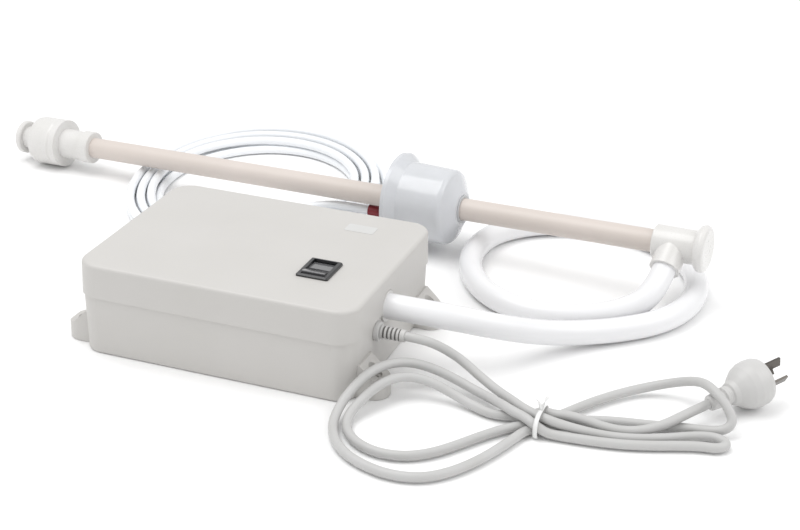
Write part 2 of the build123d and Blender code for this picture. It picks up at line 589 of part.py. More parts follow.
lead_route = [(134, CORD_Y, CORD_Z), (143, CORD_Y, CORD_Z), (152, -31.5, 34), (161, -25.5, 27.5),
              (173, -21.5, 19), (189, -27, 11.5), (205, -36.5, 8.5), (220, -48.5, 9.8), (234, -61.3, 11.4)]
done(tube_along("power_cord", lead_route, CORD_R), "power_cord", "lightgray")
end_route = [(250, -61.3, 11.4), (260, -57, 11.6), (273, -54.5, 9.5), (287, -54, 6.5), (302, -52.5, 5),
             (317, -48, 6.5), (330, -39.5, 10), (339, -27.5, 12), tuple(PLUG_TAIL_END - PLUG_DIR * 13),
             tuple(PLUG_TAIL_END)]
done(tube_along("power_cord_end", end_route, CORD_R), "power_cord_end", "lightgray")

left_outer = [(238, -70, 11.4), (229, -68, 11.4), (217, -60, 11.2), (203, -48.5, 8), (188, -39.5, 7),
              (171, -35.5, 11), (155, -37, 16.5), (141, -43.5, 21.5), (130, -56, 24.5), (121.5, -72, 24.5),
              (115, -88, 19), (110.5, -103, 11), (111, -119, 5), (119, -136, 4), (132, -151, 4), (150, -161, 4),
              (171, -166, 4), (192, -162, 4), (207, -149, 4), (219, -130, 4), (228, -109, 4), (234, -91, 4),
              (238, -75, 4)]
left_inner = [(238, -57.2, 4), (226, -60, 4), (211, -64, 4), (194, -58, 4.5), (177, -53, 8), (161, -51.5, 13),
              (147, -55.5, 19), (137.5, -66, 22.5), (130.5, -80, 22), (123.5, -95, 15), (119.5, -109, 7.5),
              (123.5, -124, 4), (136, -136.5, 4), (153, -143, 4), (172, -141, 4), (188, -130, 4), (201, -113, 4),
              (213, -94.5, 4), (226, -78, 4), (239, -66, 4)]
right_upper = [(246, -57.2, 4), (257, -43.5, 4.3), (271, -23, 5), (287, -1.5, 5), (304, 14, 6), (321, 18.5, 11),
               (336, 12.5, 19), (347.5, 2, 25.3), (358, -9, 25.3), (367.5, -16, 20), (373.5, -20.5, 12),
               (370, -25.5, 6.5), (358, -27.5, 4.2), (340, -29.5, 4), (319, -35, 4), (298, -38.5, 4),
               (277, -44.5, 4), (261, -55, 4), (247, -65.4, 4)]
right_lower = [(246, -69.6, 11.4), (258, -68.5, 11), (273, -65.5, 7), (289, -62, 4.2), (304, -59.8, 4),
               (318, -55.2, 4), (332, -48.5, 4), (346, -40, 4), (358, -34.6, 4), (368, -34.6, 4),
               (374, -41, 4), (369, -48.5, 4), (357, -49.5, 4), (341, -55.5, 4), (325, -62.2, 4),
               (308, -67.8, 4), (292, -71, 4), (276, -72.8, 4), (260, -73.6, 4), (246, -73.8, 4)]
with BuildPart() as power_cord_hank:
    with BuildSketch(Plane.XY.offset(BUNDLE_Z - BUNDLE_HEIGHT / 2)):
        with Locations((BUNDLE_X, BUNDLE_Y)):
            RectangleRounded(BUNDLE_LENGTH, BUNDLE_WIDTH, 2)
    extrude(amount=BUNDLE_HEIGHT)
    for number, loop in enumerate((left_outer, left_inner, right_upper, right_lower)):
        add(tube_along(f"hank loop {number + 1}", loop, HANK_R).part)
print("hank solids", len(power_cord_hank.part.solids()), "volume", round(power_cord_hank.part.volume))
done(power_cord_hank, "power_cord_hank", "lightgray")

with BuildPart() as cord_tie:
    with BuildSketch(Plane.YZ.offset(BUNDLE_X + 2.2)):
        with Locations((BUNDLE_Y, BUNDLE_Z + 0.1)):
            RectangleRounded(BUNDLE_WIDTH + 2.6, BUNDLE_HEIGHT + 2.6, 2.5)
            RectangleRounded(BUNDLE_WIDTH + 0.2, BUNDLE_HEIGHT + 0.2, 1.4, mode=Mode.SUBTRACT)
        with Locations((BUNDLE_Y, -2)):
            Rectangle(60, 4.4, mode=Mode.SUBTRACT)
    extrude(amount=5)
done(cord_tie, "cord_tie", "gray70")
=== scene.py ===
"""Looks of the bottled-water dispensing pump system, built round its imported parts.

Every piece is in metres, in the frame of the case: +X is the cord end, -Y the front, +Z up.
The finishes come first, then the studio, the hose, cord and tube with the pieces on them, and
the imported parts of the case, pump, wand, plug and tube end.
"""
import logging
import math
from dataclasses import dataclass, field
from enum import Enum

import bmesh
import bpy
from mathutils import Matrix, Quaternion, Vector


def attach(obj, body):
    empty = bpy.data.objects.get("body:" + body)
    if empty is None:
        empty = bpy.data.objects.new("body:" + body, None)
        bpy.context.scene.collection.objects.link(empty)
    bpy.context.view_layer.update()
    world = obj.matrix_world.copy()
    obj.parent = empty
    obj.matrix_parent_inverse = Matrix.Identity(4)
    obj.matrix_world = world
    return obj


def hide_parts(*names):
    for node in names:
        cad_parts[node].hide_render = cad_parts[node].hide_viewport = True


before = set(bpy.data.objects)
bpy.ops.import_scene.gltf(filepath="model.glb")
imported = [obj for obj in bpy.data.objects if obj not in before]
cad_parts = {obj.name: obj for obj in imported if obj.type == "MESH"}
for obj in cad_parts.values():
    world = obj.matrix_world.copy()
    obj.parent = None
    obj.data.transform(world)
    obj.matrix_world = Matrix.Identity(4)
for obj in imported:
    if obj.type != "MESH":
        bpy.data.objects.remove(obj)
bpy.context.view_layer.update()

Colour = tuple[float, float, float]
Point = tuple[float, float, float]
LOG = logging.getLogger("dispensing_pump")
MM = 0.001


# ---------------------------------------------------------------- finishes
# shared by all finishes: the coat, the soft clouds of colour, and the grain's bump and gloss
COAT_ROUGHNESS = 0.12
LIGHT_SPREAD = 4 * MM
DRAWN_STRETCH = 0.04
CLOUD_DETAIL = 4.0
CLOUD_DARK, CLOUD_LIGHT = 0.3, 0.7
YELLOWING = 0.4
BUMP_STRENGTH = 0.6
GLOSS_BELOW, GLOSS_ABOVE = 0.06, 0.08
LEAST_ROUGHNESS = 0.05


class Grain(Enum):
    """How a finish's fine surface is laid out."""

    EVEN = "even"
    DRAWN_ALONG_X = "drawn"
    SPECKLED = "speckled"


@dataclass(frozen=True)
class Finish:
    """One surface finish, made as a procedural material on object coordinates."""

    name: str
    colour: Colour
    slot: str
    roughness: float = 0.45
    grain: Grain = Grain.EVEN
    grain_size: float = 0.9 * MM
    grain_depth: float = 0.02 * MM
    mottle: float = 0.03
    mottle_size: float = 24 * MM
    coat: float = 0.0
    metallic: float = 0.0
    subsurface: float = 0.0
    transmission: float = 0.0

    def material(self) -> bpy.types.Material:
        """Make the finish's material, or find it if it is made already.

        Returns:
            The node material of this finish.
        """
        made = bpy.data.materials.get(self.name)
        if made:
            return made
        made = bpy.data.materials.new(self.name)
        made.use_nodes = True
        nodes, links = made.node_tree.nodes, made.node_tree.links
        shader = nodes["Principled BSDF"]
        shader.inputs["Metallic"].default_value = self.metallic
        shader.inputs["Coat Weight"].default_value = self.coat
        shader.inputs["Coat Roughness"].default_value = COAT_ROUGHNESS
        shader.inputs["Subsurface Weight"].default_value = self.subsurface
        shader.inputs["Subsurface Radius"].default_value = (LIGHT_SPREAD, LIGHT_SPREAD, LIGHT_SPREAD)
        shader.inputs["Transmission Weight"].default_value = self.transmission
        place = nodes.new("ShaderNodeTexCoord")
        stretch = nodes.new("ShaderNodeMapping")
        along = DRAWN_STRETCH if self.grain is Grain.DRAWN_ALONG_X else 1.0
        stretch.inputs["Scale"].default_value = (along, 1.0, 1.0)
        links.new(place.outputs["Object"], stretch.inputs["Vector"])
        self._wire_colour(nodes, links, place, shader)
        self._wire_surface(nodes, links, stretch, shader)
        return made

    def _wire_colour(self, nodes: bpy.types.Nodes, links: bpy.types.NodeLinks, place: bpy.types.Node,
                     shader: bpy.types.Node) -> None:
        """Vary the colour softly over the piece, as resin and handling do.

        Args:
            nodes: The material's nodes.
            links: The material's links.
            place: The texture coordinate node.
            shader: The material's surface shader.
        """
        cloud = nodes.new("ShaderNodeTexNoise")
        cloud.inputs["Scale"].default_value = 1 / self.mottle_size
        cloud.inputs["Detail"].default_value = CLOUD_DETAIL
        ramp = nodes.new("ShaderNodeValToRGB")
        ramp.color_ramp.elements[0].position = CLOUD_DARK
        ramp.color_ramp.elements[1].position = CLOUD_LIGHT
        darker = [channel * (1 - self.mottle) for channel in self.colour]
        lighter = [min(1.0, channel * (1 + self.mottle)) for channel in self.colour]
        darker[2] *= 1 - YELLOWING * self.mottle
        ramp.color_ramp.elements[0].color = (*darker, 1)
        ramp.color_ramp.elements[1].color = (*lighter, 1)
        links.new(place.outputs["Object"], cloud.inputs["Vector"])
        links.new(cloud.outputs["Fac"], ramp.inputs["Fac"])
        links.new(ramp.outputs["Color"], shader.inputs["Base Color"])

    def _wire_surface(self, nodes: bpy.types.Nodes, links: bpy.types.NodeLinks, stretch: bpy.types.Node,
                      shader: bpy.types.Node) -> None:
        """Give the surface its fine grain and uneven gloss.

        Args:
            nodes: The material's nodes.
            links: The material's links.
            stretch: The mapping that lays the grain out.
            shader: The material's surface shader.
        """
        speckled = self.grain is Grain.SPECKLED
        fine = nodes.new("ShaderNodeTexVoronoi" if speckled else "ShaderNodeTexNoise")
        fine.inputs["Scale"].default_value = 1 / self.grain_size
        height = fine.outputs["Distance" if speckled else "Fac"]
        links.new(stretch.outputs["Vector"], fine.inputs["Vector"])
        bump = nodes.new("ShaderNodeBump")
        bump.inputs["Strength"].default_value = BUMP_STRENGTH
        bump.inputs["Distance"].default_value = self.grain_depth
        links.new(height, bump.inputs["Height"])
        links.new(bump.outputs["Normal"], shader.inputs["Normal"])
        gloss = nodes.new("ShaderNodeMapRange")
        gloss.inputs["To Min"].default_value = max(LEAST_ROUGHNESS, self.roughness - GLOSS_BELOW)
        gloss.inputs["To Max"].default_value = min(1.0, self.roughness + GLOSS_ABOVE)
        links.new(height, gloss.inputs["Value"])
        links.new(gloss.outputs["Result"], shader.inputs["Roughness"])

    def dress(self, piece: bpy.types.Object) -> None:
        """Put the finish on a new piece.

        Args:
            piece: The mesh or curve object to dress.
        """
        piece.data.materials.clear()
        piece.data.materials.append(self.material())

    def dress_parts(self, *names: str) -> None:
        """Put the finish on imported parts.

        Args:
            names: The parts' names.
        """
        for name in names:
            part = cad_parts[name]
            part.data.materials.clear()
            part.data.materials.append(self.material())
            LOG.info("%s is finished in %s", name, self.name)


CASE = Finish("case_satin", (0.545, 0.532, 0.514), "case_plastic", 0.42, Grain.SPECKLED, 0.8 * MM,
              grain_depth=0.012 * MM, mottle=0.015, mottle_size=60 * MM)
LABEL = Finish("blank_label", (0.58, 0.58, 0.575), "case_plastic", 0.3, grain_depth=0.004 * MM)
SWITCH_BLACK = Finish("switch_black", (0.016, 0.016, 0.018), "black_plastic", 0.22,
                      grain_depth=0.006 * MM, coat=0.3)
ROCKER_BLACK = Finish("rocker_black", (0.10, 0.10, 0.105), "black_plastic", 0.12,
                      grain_depth=0.003 * MM, coat=1.0)
INNER_BLACK = Finish("inner_black", (0.018, 0.018, 0.020), "black_plastic", 0.42, Grain.SPECKLED, coat=0.1)
FITTING = Finish("fitting_white", (0.690, 0.680, 0.668), "white_fitting", 0.28,
                 grain_depth=0.006 * MM, coat=0.25, subsurface=0.08)
CAP = Finish("cap_white", (0.600, 0.612, 0.640), "cap_plastic", 0.20,
             grain_depth=0.005 * MM, coat=0.45, subsurface=0.15)
WAND = Finish("wand_cream", (0.630, 0.568, 0.530), "wand_plastic", 0.40, Grain.DRAWN_ALONG_X, 0.7 * MM,
              grain_depth=0.015 * MM, mottle_size=90 * MM)
HOSE = Finish("hose_vinyl", (0.615, 0.603, 0.592), "hose_vinyl", 0.25, grain_size=5 * MM,
              grain_depth=0.05 * MM, coat=0.35, subsurface=0.10)
MILKY = Finish("milky_tube", (0.68, 0.69, 0.705), "milky_tube", 0.22, grain_size=4 * MM,
               grain_depth=0.03 * MM, coat=0.3, subsurface=0.25, transmission=0.15)
CORD = Finish("cord_grey", (0.510, 0.508, 0.504), "cord_pvc", 0.45, Grain.SPECKLED, 0.7 * MM)
GLAND = Finish("gland_grey", (0.56, 0.555, 0.55), "cord_pvc", 0.40)
RED = Finish("cap_red", (0.22, 0.008, 0.018), "red_cap", 0.35, grain_depth=0.01 * MM, coat=0.2)
TIE = Finish("tie_clear", (0.85, 0.85, 0.85), "white_fitting", 0.25, grain_depth=0.01 * MM)
# painted shade: a near-black finish for the bands laid in the strain relief's slots, where shadow falls; its
# slot cord_pvc only groups it with the cord's material
PAINTED_SLOT_SHADE = Finish("relief_painted_shade", (0.16, 0.155, 0.15), "cord_pvc", 0.7)
STEEL = Finish("drawn_steel", (0.60, 0.60, 0.61), "steel", 0.30, Grain.DRAWN_ALONG_X, 0.4 * MM,
               grain_depth=0.01 * MM, metallic=1.0)
PINS = Finish("pin_metal", (0.13, 0.12, 0.11), "dark_metal", 0.28, Grain.DRAWN_ALONG_X, 0.4 * MM,
              grain_depth=0.01 * MM, metallic=0.9)
MAGNET = Finish("magnet_ferrite", (0.05, 0.05, 0.055), "dark_metal", 0.6, Grain.SPECKLED, 0.6 * MM,
                grain_depth=0.03 * MM)
BRASS = Finish("plain_brass", (0.72, 0.55, 0.24), "brass", 0.28, metallic=1.0)
COPPER = Finish("wound_copper", (0.66, 0.33, 0.17), "copper", 0.38, Grain.DRAWN_ALONG_X, 0.5 * MM,
                grain_depth=0.12 * MM, metallic=0.85)
RUBBER = Finish("soft_rubber", (0.03, 0.03, 0.03), "rubber", 0.7, Grain.SPECKLED, 0.6 * MM,
                grain_depth=0.03 * MM)
GREY_RUBBER = Finish("grey_rubber", (0.52, 0.53, 0.54), "rubber", 0.55, Grain.SPECKLED, 0.6 * MM)
BOARD = Finish("board_green", (0.02, 0.16, 0.06), "board", 0.3, Grain.SPECKLED, 1.2 * MM,
               mottle=0.12, coat=0.3)


# ---------------------------------------------------------------- studio
@dataclass(frozen=True)
class Lamp:
    """One square soft light, aimed at the middle of the set."""

    name: str
    place: Point
    size: float
    power: float


@dataclass
class Studio:
    """Camera, floor and soft lights."""

    eye: Point = (0.492, -1.031, 0.590)
    target: Point = (0.1076, 0.0208, 0.0656)
    roll_degrees: float = 1.311
    lens: float = 73.5
    sensor_width: float = 36.0
    floor_half: float = 4.0
    floor_drop: float = 0.4 * MM
    paper_tone: float = 0.93
    paper_roughness: float = 0.9
    paper_gloss: float = 0.1
    surround_strength: float = 0.80
    lit_place: Point = (0.1, 0.1, 0.0)
    lamps: tuple[Lamp, ...] = (
        Lamp("key", (-0.5, -0.2, 1.9), size=1.5, power=20.0),
        Lamp("fill", (1.5, 0.3, 1.3), size=1.2, power=8.0))

    def build(self) -> None:
        """Make the camera, the floor and the lights."""
        self._camera()
        self._floor()
        self._surround()
        for lamp in self.lamps:
            self._light(lamp)
        bpy.context.scene.view_settings.view_transform = "Standard"

    def _camera(self) -> None:
        """Stand the camera at its place, rolled a little about its view line."""
        lens = bpy.data.cameras.new("camera")
        lens.lens = self.lens
        lens.sensor_width = self.sensor_width
        camera = bpy.data.objects.new("camera", lens)
        camera.location = self.eye
        look = (Vector(self.target) - Vector(self.eye)).to_track_quat("-Z", "Y")
        camera.rotation_mode = "QUATERNION"
        camera.rotation_quaternion = look @ Quaternion((0, 0, 1), math.radians(self.roll_degrees))
        bpy.context.scene.collection.objects.link(camera)
        bpy.context.scene.camera = camera

    def _floor(self) -> None:
        """Lay a plain pale floor just under the case."""
        mesh = bmesh.new()
        bmesh.ops.create_grid(mesh, x_segments=2, y_segments=2, size=self.floor_half)
        bmesh.ops.translate(mesh, verts=mesh.verts, vec=(0, 0, -self.floor_drop))
        floor = new_piece("floor", mesh)
        paper = bpy.data.materials.new("floor_paper")
        paper.use_nodes = True
        shader = paper.node_tree.nodes["Principled BSDF"]
        shader.inputs["Base Color"].default_value = (self.paper_tone, self.paper_tone, self.paper_tone, 1)
        shader.inputs["Roughness"].default_value = self.paper_roughness
        shader.inputs["Specular IOR Level"].default_value = self.paper_gloss
        floor.data.materials.append(paper)

    def _surround(self) -> None:
        """Set an even white surround."""
        world = bpy.data.worlds.new("surround")
        bpy.context.scene.world = world
        world.use_nodes = True
        sky = world.node_tree.nodes["Background"]
        sky.inputs["Color"].default_value = (1, 1, 1, 1)
        sky.inputs["Strength"].default_value = self.surround_strength

    def _light(self, lamp: Lamp) -> None:
        """Hang one soft light.

        Args:
            lamp: The light's place, size and power.
        """
        area = bpy.data.lights.new(lamp.name, "AREA")
        area.size = lamp.size
        area.energy = lamp.power
        light = bpy.data.objects.new(lamp.name, area)
        light.location = lamp.place
        light.rotation_mode = "QUATERNION"
        light.rotation_quaternion = (Vector(self.lit_place) - Vector(lamp.place)).to_track_quat("-Z", "Y")
        bpy.context.scene.collection.objects.link(light)


def new_piece(name: str, mesh: bmesh.types.BMesh, smooth: bool = False) -> bpy.types.Object:
    """Turn an edit mesh into an object at the origin.

    Args:
        name: The new object's name.
        mesh: The edit mesh, which is freed.
        smooth: Whether its faces are shaded smooth.

    Returns:
        The new object, linked to the scene.
    """
    data = bpy.data.meshes.new(name)
    for face in mesh.faces:
        face.smooth = smooth
    mesh.to_mesh(data)
    mesh.free()
    piece = bpy.data.objects.new(name, data)
    bpy.context.scene.collection.objects.link(piece)
    return piece


# ---------------------------------------------------------------- cords
@dataclass
class FlexibleLine:
    """A hose, tube or cord: one smooth line of a real length and thickness."""

    name: str
    route: list[Point]
    diameter: float
    length: float
    finish: Finish
    stands_for: tuple[str, ...]
    far_end: str
    stiffness: str
    lay: str
    with_parts: list[bpy.types.Object] = field(default_factory=list)
    steps: int = 8
    roundness: int = 6

    def build(self) -> bpy.types.Object:
        """Make the line as a smooth round tube.

        Returns:
            The curve object.
        """
        curve = bpy.data.curves.new(self.name, "CURVE")
        curve.dimensions = "3D"
        curve.bevel_depth = self.diameter / 2
        curve.bevel_resolution = self.roundness
        curve.use_fill_caps = True
        curve.resolution_u = self.steps
        line = curve.splines.new("NURBS")
        line.points.add(len(self.route) - 1)
        for point, place in zip(line.points, self.route):
            point.co = (*place, 1.0)
        line.order_u = 3
        line.use_endpoint_u = True
        piece = bpy.data.objects.new(self.name, curve)
        bpy.context.scene.collection.objects.link(piece)
        return piece

    def place(self) -> bpy.types.Object:
        """Build the line, dress it and say what it is.

        Returns:
            The finished piece.
        """
        piece = self.build()
        self.finish.dress(piece)
        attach(piece, "root")
        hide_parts(*self.stands_for)
        LOG.info("%s: %.2f m of %.1f mm", self.name, self.length, self.diameter / MM)
        return piece


SUCTION_HOSE_ROUTE = [
    (0.1125, -0.016, 0.049), (0.1405, -0.016, 0.049), (0.166, -0.0065, 0.044), (0.189, 0.012, 0.0335),
    (0.212, 0.038, 0.021), (0.237, 0.065, 0.0125), (0.264, 0.087, 0.0099), (0.290, 0.111, 0.0099),
    (0.3055, 0.142, 0.0099), (0.309, 0.178, 0.0099), (0.300, 0.214, 0.0099), (0.280, 0.246, 0.0099),
    (0.250, 0.268, 0.0099), (0.215, 0.278, 0.0099), (0.178, 0.274, 0.0099), (0.144, 0.258, 0.0099),
    (0.1205, 0.229, 0.0099), (0.1135, 0.193, 0.0099), (0.119, 0.158, 0.0099), (0.1325, 0.131, 0.0099),
    (0.150, 0.110, 0.0099), (0.176, 0.0945, 0.0099), (0.206, 0.091, 0.0099), (0.238, 0.101, 0.0102),
    (0.263, 0.1155, 0.0138), (0.28112, 0.13136, 0.02293), (0.28424, 0.15267, 0.03749)]

MAINS_CORD_ROUTE = [
    # out of the strain relief, over the tie and round the lower right loop
    (0.134, -0.036, 0.0375), (0.143, -0.036, 0.0375), (0.152, -0.0315, 0.034), (0.161, -0.0255, 0.0275),
    (0.173, -0.0215, 0.019), (0.189, -0.027, 0.0115), (0.205, -0.0365, 0.0085), (0.220, -0.0485, 0.0098),
    (0.234, -0.0606, 0.0114), (0.245, -0.0654, 0.0116), (0.256, -0.0692, 0.0113),
    (0.273, -0.0655, 0.0070), (0.289, -0.062, 0.0042), (0.304, -0.0598, 0.004), (0.318, -0.0552, 0.004),
    (0.332, -0.0485, 0.004), (0.346, -0.040, 0.004), (0.358, -0.0346, 0.004), (0.368, -0.0346, 0.004),
    (0.374, -0.041, 0.004), (0.369, -0.0485, 0.004), (0.357, -0.0495, 0.004), (0.341, -0.0555, 0.004),
    (0.325, -0.0622, 0.004), (0.308, -0.0678, 0.004), (0.292, -0.071, 0.004), (0.276, -0.0728, 0.004),
    (0.262, -0.074, 0.004), (0.253, -0.0745, 0.0046), (0.245, -0.076, 0.0102), (0.236, -0.0706, 0.0114),
    # outer left loop
    (0.226, -0.066, 0.0114), (0.217, -0.060, 0.0112), (0.203, -0.0485, 0.008), (0.188, -0.0395, 0.007),
    (0.171, -0.0355, 0.011), (0.155, -0.037, 0.0165), (0.141, -0.0435, 0.0215), (0.130, -0.056, 0.0245),
    (0.1215, -0.072, 0.0245), (0.115, -0.088, 0.019), (0.1105, -0.103, 0.011), (0.111, -0.119, 0.005),
    (0.119, -0.136, 0.004), (0.132, -0.151, 0.004), (0.150, -0.161, 0.004), (0.171, -0.166, 0.004),
    (0.192, -0.162, 0.004), (0.207, -0.149, 0.004), (0.219, -0.130, 0.004), (0.228, -0.109, 0.004),
    (0.234, -0.091, 0.004), (0.2385, -0.077, 0.004), (0.245, -0.0698, 0.004), (0.253, -0.0625, 0.004),
    # upper right loop
    (0.264, -0.0535, 0.004), (0.277, -0.0445, 0.004), (0.298, -0.0385, 0.004), (0.319, -0.035, 0.004),
    (0.340, -0.0295, 0.004), (0.358, -0.0275, 0.0042), (0.370, -0.0255, 0.0065), (0.3735, -0.0205, 0.012),
    (0.3675, -0.016, 0.020), (0.358, -0.009, 0.0253), (0.3475, 0.002, 0.0253), (0.336, 0.0125, 0.019),
    (0.321, 0.0185, 0.011), (0.304, 0.014, 0.006), (0.287, -0.0015, 0.005), (0.271, -0.023, 0.005),
    (0.259, -0.0415, 0.0043), (0.252, -0.052, 0.004), (0.245, -0.0613, 0.004), (0.237, -0.0686, 0.004),
    # inner left loop
    (0.226, -0.078, 0.004), (0.213, -0.0945, 0.004), (0.201, -0.113, 0.004), (0.188, -0.130, 0.004),
    (0.172, -0.141, 0.004), (0.153, -0.143, 0.004), (0.136, -0.1365, 0.004), (0.1235, -0.124, 0.004),
    (0.118, -0.109, 0.0055), (0.121, -0.095, 0.0105), (0.128, -0.079, 0.0165), (0.1355, -0.0645, 0.0178),
    (0.146, -0.0550, 0.0165), (0.161, -0.0515, 0.013), (0.177, -0.053, 0.008), (0.194, -0.058, 0.0045),
    (0.211, -0.064, 0.004), (0.226, -0.060, 0.004), (0.236, -0.0574, 0.0042), (0.245, -0.0556, 0.0104),
    (0.254, -0.0596, 0.0115),
    # to the plug
    (0.264, -0.057, 0.0115), (0.275, -0.0545, 0.0093), (0.287, -0.054, 0.0065), (0.302, -0.0525, 0.005),
    (0.317, -0.048, 0.0065), (0.330, -0.0395, 0.010), (0.339, -0.0275, 0.012), (0.34517, -0.0169, 0.01224),
    (0.35298, -0.00662, 0.0138)]

OUTLET_LEAD = [
    (-0.045, 0.096, 0.031), (-0.024, 0.096, 0.031), (-0.002, 0.099, 0.028), (0.017, 0.106, 0.020),
    (0.027, 0.121, 0.011), (0.024, 0.141, 0.0055), (0.013, 0.160, 0.0044), (0.004, 0.181, 0.0044)]
OUTLET_TAIL = [
    (-0.115, 0.1015, 0.0165), (-0.093, 0.104, 0.0206), (-0.073, 0.113, 0.0212), (-0.062, 0.130, 0.0195),
    (-0.061, 0.153, 0.0155), (-0.060, 0.175, 0.0155), (-0.050, 0.192, 0.0185), (-0.031, 0.2015, 0.0215),
    (-0.010, 0.2048, 0.0224), (0.011, 0.204, 0.0224)]


@dataclass(frozen=True)
class CoilLayer:
    """One layer of the coil: its oval's half sizes and shift, and what each turn adds to them."""

    half_width: float
    width_a_turn: float
    half_length: float
    length_a_turn: float
    shift: float
    shift_a_turn: float
    wander: float
    waves: int
    wave_drift: float

    def place(self, turn: float, angle: float) -> tuple[float, float]:
        """Find a point of the layer on the coil's own two axes.

        Args:
            turn: How many turns of this layer come before.
            angle: The point's angle round the coil, in radians.

        Returns:
            Its distances from the coil's middle, across and along the oval.
        """
        wander = self.wander * math.sin(self.waves * angle + self.wave_drift * turn)
        half_width = self.half_width + self.width_a_turn * turn + wander
        half_length = self.half_length + self.length_a_turn * turn + wander
        shift = self.shift + self.shift_a_turn * turn
        return half_width * math.cos(angle), half_length * math.sin(angle) + shift


@dataclass
class TubeCoil:
    """The coiled length of outlet tube: a flat layer wound inwards and a looser one back out on it."""

    centre: tuple[float, float] = (-0.1186, 0.2486)
    turned_degrees: float = 8.4
    start_degrees: float = -20.0
    points_a_turn: int = 16
    floor_turns: float = 3.75
    all_turns: float = 6.75
    climb_turns: float = 0.25
    floor_height: float = 4.1 * MM
    upper_height: float = 12.5 * MM
    floor_layer: CoilLayer = CoilLayer(
        half_width=0.1209, width_a_turn=-0.0090, half_length=0.1512, length_a_turn=-0.0113,
        shift=0.0, shift_a_turn=-0.0020, wander=1.0 * MM, waves=2, wave_drift=0.5)
    upper_layer: CoilLayer = CoilLayer(
        half_width=0.0880, width_a_turn=0.0093, half_length=0.1090, length_a_turn=0.0128,
        shift=-0.0085, shift_a_turn=0.0024, wander=1.4 * MM, waves=3, wave_drift=0.7)

    def point(self, turn: float) -> Point:
        """Find one point of the winding.

        Args:
            turn: How many turns of it come before.

        Returns:
            The point, in metres.
        """
        angle = math.radians(self.start_degrees + 360 * turn)
        up = max(0.0, turn - self.floor_turns)
        if up > 0:
            across, down = self.upper_layer.place(up, angle)
        else:
            across, down = self.floor_layer.place(turn, angle)
        climb = min(1.0, up / self.climb_turns)
        height = self.floor_height + (self.upper_height - self.floor_height) * climb
        lean = math.radians(self.turned_degrees)
        x = self.centre[0] + across * math.cos(lean) - down * math.sin(lean)
        y = self.centre[1] + across * math.sin(lean) + down * math.cos(lean)
        return (x, y, height)

    def route(self) -> list[Point]:
        """List the points of the whole winding.

        Returns:
            The points in order, from the outlet's end to the capped end.
        """
        count = round(self.points_a_turn * self.all_turns)
        return [self.point(number / self.points_a_turn) for number in range(count + 1)]


# ---------------------------------------------------------------- twist tie
def draw_out_ring(mesh: bmesh.types.BMesh, width: float) -> None:
    """Draw the newest bare ring of edges out along +X into a band.

    Args:
        mesh: The edit mesh that holds it.
        width: The band's width in metres.
    """
    ring = [edge for edge in mesh.edges if edge.is_wire]
    drawn = bmesh.ops.extrude_edge_only(mesh, edges=ring)["geom"]
    moved = [item for item in drawn if isinstance(item, bmesh.types.BMVert)]
    bmesh.ops.translate(mesh, verts=moved, vec=(width, 0, 0))


@dataclass
class TwistTie:
    """The clear strip that ties the folded cord, with its two short ends."""

    middle: Point = (0.2467, -0.0655, 0.0079)
    half_width: float = 14.9 * MM
    half_height: float = 9.2 * MM
    strip: float = 3.2 * MM
    thickness: float = 0.6 * MM
    floor_gap: float = 0.4 * MM
    corner_power: float = 0.55
    top_taper: float = 0.22
    segments: int = 48
    tail: float = 9 * MM
    tail_width_share: float = 0.8
    tail_segments: int = 14
    tail_apart: float = 1 * MM
    tail_twist_degrees: float = 150.0
    tail_lean: tuple[float, float] = (0.35, 0.25)
    tail_lean_back: float = 0.1

    def build(self) -> bpy.types.Object:
        """Make the band round the strands and its two twisted ends.

        Returns:
            The finished mesh object.
        """
        mesh = bmesh.new()
        for vert in bmesh.ops.create_circle(mesh, segments=self.segments, radius=1.0)["verts"]:
            side, up = vert.co.x, vert.co.y
            across = math.copysign(abs(side) ** self.corner_power, side) * self.half_width
            rise = math.copysign(abs(up) ** self.corner_power, up) * self.half_height
            across *= 1 - self.top_taper * max(0.0, up)
            vert.co = Vector(self.middle) + Vector((-self.strip / 2, across, rise))
            vert.co.z = max(vert.co.z, self.floor_gap)
        draw_out_ring(mesh, self.strip)
        for sign in (-1, 1):
            self._tail(mesh, sign)
        bmesh.ops.recalc_face_normals(mesh, faces=mesh.faces)
        bmesh.ops.solidify(mesh, geom=list(mesh.faces), thickness=self.thickness)
        return new_piece("twist_tie", mesh, smooth=True)

    def _tail(self, mesh: bmesh.types.BMesh, sign: int) -> None:
        """Add one short end of the strip, standing up and leaning outwards.

        Args:
            mesh: The edit mesh to add it to.
            sign: Which way the end leans.
        """
        made = bmesh.ops.create_grid(mesh, x_segments=2, y_segments=self.tail_segments, size=0.5)["verts"]
        foot = Vector(self.middle) + Vector((0, self.tail_apart * sign, self.half_height))
        lean_x, lean_y = self.tail_lean
        for vert in made:
            share = vert.co.y + 0.5
            twist = math.radians(self.tail_twist_degrees) * share
            width = vert.co.x * self.strip * self.tail_width_share
            side = Vector((math.cos(twist), math.sin(twist), 0)) * width
            lean = Vector((lean_x * sign * share, lean_y * sign * share + self.tail_lean_back, 1.0))
            vert.co = foot + side + lean * share * self.tail

    def place(self) -> bpy.types.Object:
        """Build the tie, dress it and fix it to the cord.

        Returns:
            The finished piece.
        """
        piece = self.build()
        TIE.dress(piece)
        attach(piece, "root")
        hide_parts("cord_tie")
        LOG.info("twist tie: strip %.1f mm wide", self.strip / MM)
        return piece
